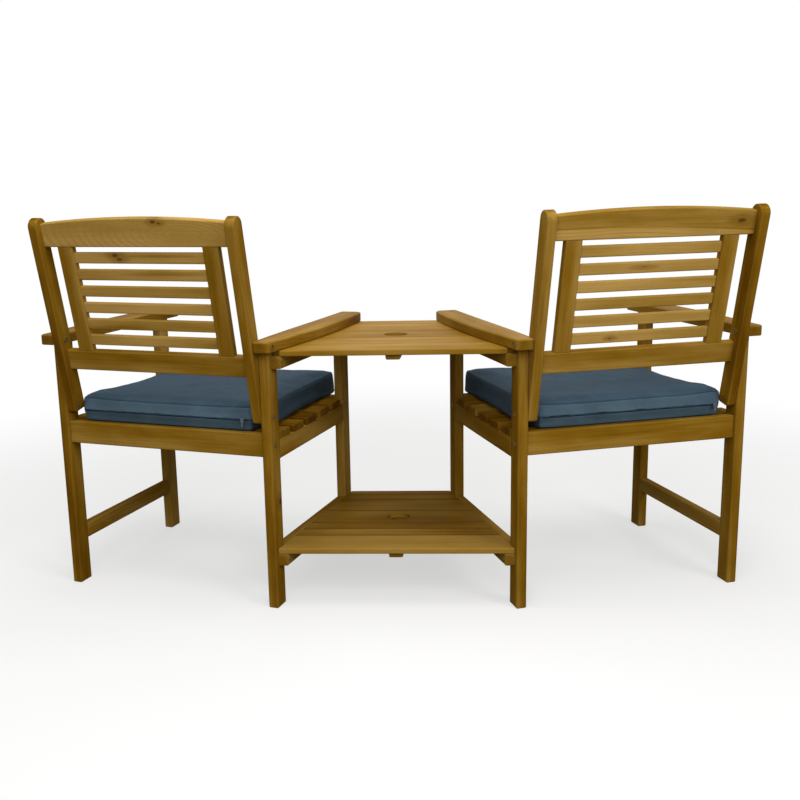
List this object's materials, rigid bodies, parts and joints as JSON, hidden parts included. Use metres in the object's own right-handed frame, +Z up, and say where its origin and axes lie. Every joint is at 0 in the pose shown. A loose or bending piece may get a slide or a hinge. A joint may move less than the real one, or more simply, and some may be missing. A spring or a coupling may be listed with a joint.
{
  "type": "companion seat bench",
  "caption": "Timber companion seat: slatted armchairs turned toward each other and joined by a slatted table and a low shelf with parasol holes; loose zipped seat cushions.",
  "frame": {"origin": "on the ground, at the middle of the footprint", "axes": "+Z up, the sitters face -Y, +X toward the sitters' left"},
  "size_m": [1.6622, 0.7446, 0.8955],
  "materials": {
    "oiled_hardwood": "oiled tropical hardwood, olive brown, eased edges",
    "plated_steel": "zinc plated",
    "cushion_cloth": "woven slate blue polyester",
    "zip_tape": "coil zip on blue tape",
    "zip_metal": "dark plated zip slider"
  },
  "bodies": {
    "frame": {"back_bolts": "plated_steel", "barrel_nuts": "plated_steel", "cap_nuts": "plated_steel", "cleat_screws": "plated_steel", "left_armrest_inner": "oiled_hardwood", "left_armrest_outer": "oiled_hardwood", "left_back_rail_lower": "oiled_hardwood", "left_back_slats": "oiled_hardwood", "left_back_stile_inner": "oiled_hardwood", "left_back_stile_outer": "oiled_hardwood", "left_back_upright_inner": "oiled_hardwood", "left_back_upright_outer": "oiled_hardwood", "left_crest_rail": "oiled_hardwood", "left_front_leg_inner": "oiled_hardwood", "left_front_leg_outer": "oiled_hardwood", "left_rear_leg_inner": "oiled_hardwood", "left_rear_leg_outer": "oiled_hardwood", "left_seat_rail_front": "oiled_hardwood", "left_seat_rail_rear": "oiled_hardwood", "left_seat_slats": "oiled_hardwood", "left_side_rail_inner": "oiled_hardwood", "left_side_rail_outer": "oiled_hardwood", "left_stretcher_inner": "oiled_hardwood", "left_stretcher_outer": "oiled_hardwood", "rail_bolts": "plated_steel", "rail_dowels": "oiled_hardwood", "right_armrest_inner": "oiled_hardwood", "right_armrest_outer": "oiled_hardwood", "right_back_rail_lower": "oiled_hardwood", "right_back_slats": "oiled_hardwood", "right_back_stile_inner": "oiled_hardwood", "right_back_stile_outer": "oiled_hardwood", "right_back_upright_inner": "oiled_hardwood", "right_back_upright_outer": "oiled_hardwood", "right_crest_rail": "oiled_hardwood", "right_front_leg_inner": "oiled_hardwood", "right_front_leg_outer": "oiled_hardwood", "right_rear_leg_inner": "oiled_hardwood", "right_rear_leg_outer": "oiled_hardwood", "right_seat_rail_front": "oiled_hardwood", "right_seat_rail_rear": "oiled_hardwood", "right_seat_slats": "oiled_hardwood", "right_side_rail_inner": "oiled_hardwood", "right_side_rail_outer": "oiled_hardwood", "right_stretcher_inner": "oiled_hardwood", "right_stretcher_outer": "oiled_hardwood", "shelf_batten": "oiled_hardwood", "shelf_boards": "oiled_hardwood", "shelf_cleat_left": "oiled_hardwood", "shelf_cleat_right": "oiled_hardwood", "table_batten": "oiled_hardwood", "table_boards": "oiled_hardwood", "table_cleat_left": "oiled_hardwood", "table_cleat_right": "oiled_hardwood"},
    "left_cushion": {"left_cushion": "cushion_cloth", "left_zip_chain": "zip_tape"},
    "right_cushion": {"right_cushion": "cushion_cloth", "right_zip_chain": "zip_tape"},
    "left_zip_slider": {"left_zip_slider": "zip_metal"},
    "right_zip_slider": {"right_zip_slider": "zip_metal"}
  },
  "joints": [
    {"name": "left_cushion_lift", "type": "slide", "parent": "frame", "child": "left_cushion", "axis": [-0.1462, -0.4782, 0.866], "range_m": [0, 0.6]},
    {"name": "left_zip_run", "type": "slide", "parent": "left_cushion", "child": "left_zip_slider", "axis": [0.9563, -0.2924, 0], "range_m": [0, 0.372]},
    {"name": "right_cushion_lift", "type": "slide", "parent": "frame", "child": "right_cushion", "axis": [0.1462, -0.4782, 0.866], "range_m": [0, 0.6]},
    {"name": "right_zip_run", "type": "slide", "parent": "right_cushion", "child": "right_zip_slider", "axis": [0.9563, 0.2924, 0], "range_m": [0, 0.372]}
  ]
}
